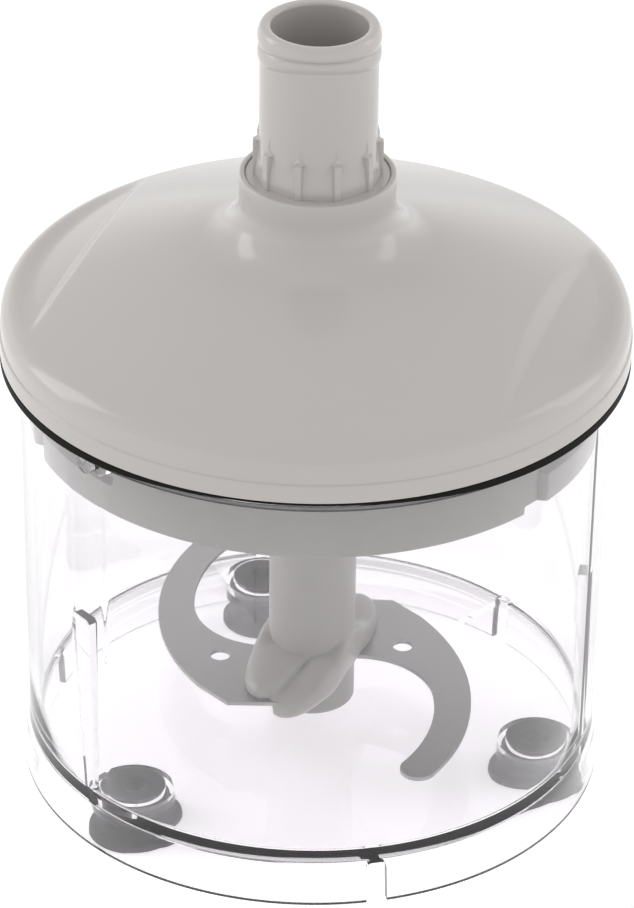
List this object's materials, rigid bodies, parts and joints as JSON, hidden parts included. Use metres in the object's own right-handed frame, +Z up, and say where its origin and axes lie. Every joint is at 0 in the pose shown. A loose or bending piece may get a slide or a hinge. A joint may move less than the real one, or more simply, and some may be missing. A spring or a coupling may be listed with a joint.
{
  "type": "food processor",
  "caption": "Chopper bowl for a hand blender: clear cylindrical bowl on rubber feet, grey domed gear lid with a tall coupling tube, and an S-shaped blade on a central hub.",
  "frame": {"origin": "centre of the ground plane under the bowl's axis", "axes": "+Z up along the axis of the bowl, blade and coupling tube, -Y towards the front"},
  "size_m": [0.132, 0.132, 0.1736],
  "materials": {
    "clear_plastic": "clear glossy moulded plastic",
    "grey_gloss": "light warm grey, glossy",
    "grey_inner": "light grey, satin",
    "hub_plastic": "milky light grey, slightly translucent",
    "blade_steel": "satin ground stainless steel",
    "shaft_steel": "bright turned steel",
    "foot_rubber": "soft grey rubber",
    "seal_rubber": "soft black rubber",
    "gear_nylon": "natural white gear plastic",
    "gear_steel": "sintered steel",
    "bush_bronze": "sintered bronze",
    "screw_steel": "zinc plated steel",
    "coupling_black": "glass filled nylon, dark grey"
  },
  "bodies": {
    "bowl_body": {"bowl": "clear_plastic", "spindle_pin": "shaft_steel", "rubber_foot_rear": "foot_rubber", "rubber_foot_left": "foot_rubber", "rubber_foot_right": "foot_rubber"},
    "seal_ring": {"lid_seal": "seal_rubber"},
    "lid": {"lid_cover": "grey_gloss", "lid_inner_plate": "grey_inner", "coupling_tube": "grey_gloss", "gear_housing": "gear_nylon", "gearbox_screws": "screw_steel", "input_bush_lower": "bush_bronze", "input_bush_upper": "bush_bronze", "carrier_bush": "bush_bronze", "shaft_seal": "seal_rubber"},
    "input_drive": {"input_shaft": "shaft_steel", "sun_gear": "gear_steel", "drive_coupling": "coupling_black", "shaft_clip": "screw_steel"},
    "carrier": {"planet_carrier": "gear_nylon", "planet_pins": "shaft_steel"},
    "planet_1": {"planet_gear_1": "gear_nylon"},
    "planet_2": {"planet_gear_2": "gear_nylon"},
    "planet_3": {"planet_gear_3": "gear_nylon"},
    "blade": {"blade_hub": "hub_plastic", "s_blade": "blade_steel", "hub_bush": "bush_bronze"}
  },
  "joints": [
    {"name": "lid_turn", "type": "hinge", "parent": "bowl_body", "child": "seal_ring", "pos_m": [0, 0, 0.1], "axis": [0, 0, 1], "range_deg": [0, 25]},
    {"name": "lid_lift", "type": "slide", "parent": "seal_ring", "child": "lid", "axis": [0, 0, 1], "range_m": [0, 0.08]},
    {"name": "blade_spin", "type": "hinge", "parent": "bowl_body", "child": "blade", "pos_m": [0, 0, 0.0234], "axis": [0, 0, 1], "continuous": true},
    {"name": "carrier_spin", "type": "hinge", "parent": "lid", "child": "carrier", "pos_m": [0, 0, 0.104], "axis": [0, 0, 1], "continuous": true},
    {"name": "input_spin", "type": "hinge", "parent": "lid", "child": "input_drive", "pos_m": [0, 0, 0.12], "axis": [0, 0, 1], "continuous": true},
    {"name": "planet_1_spin", "type": "hinge", "parent": "carrier", "child": "planet_1", "pos_m": [0, 0.0108, 0.1097], "axis": [0, 0, 1], "continuous": true},
    {"name": "planet_2_spin", "type": "hinge", "parent": "carrier", "child": "planet_2", "pos_m": [-0.00935, -0.0054, 0.1097], "axis": [0, 0, 1], "continuous": true},
    {"name": "planet_3_spin", "type": "hinge", "parent": "carrier", "child": "planet_3", "pos_m": [0.00935, -0.0054, 0.1097], "axis": [0, 0, 1], "continuous": true}
  ],
  "couplings": [
    {"joint": "carrier_spin", "follows": "blade_spin", "ratio": 1},
    {"joint": "input_spin", "follows": "blade_spin", "ratio": 4.5},
    {"joint": "planet_1_spin", "follows": "blade_spin", "ratio": -2.8},
    {"joint": "planet_2_spin", "follows": "blade_spin", "ratio": -2.8},
    {"joint": "planet_3_spin", "follows": "blade_spin", "ratio": -2.8}
  ]
}
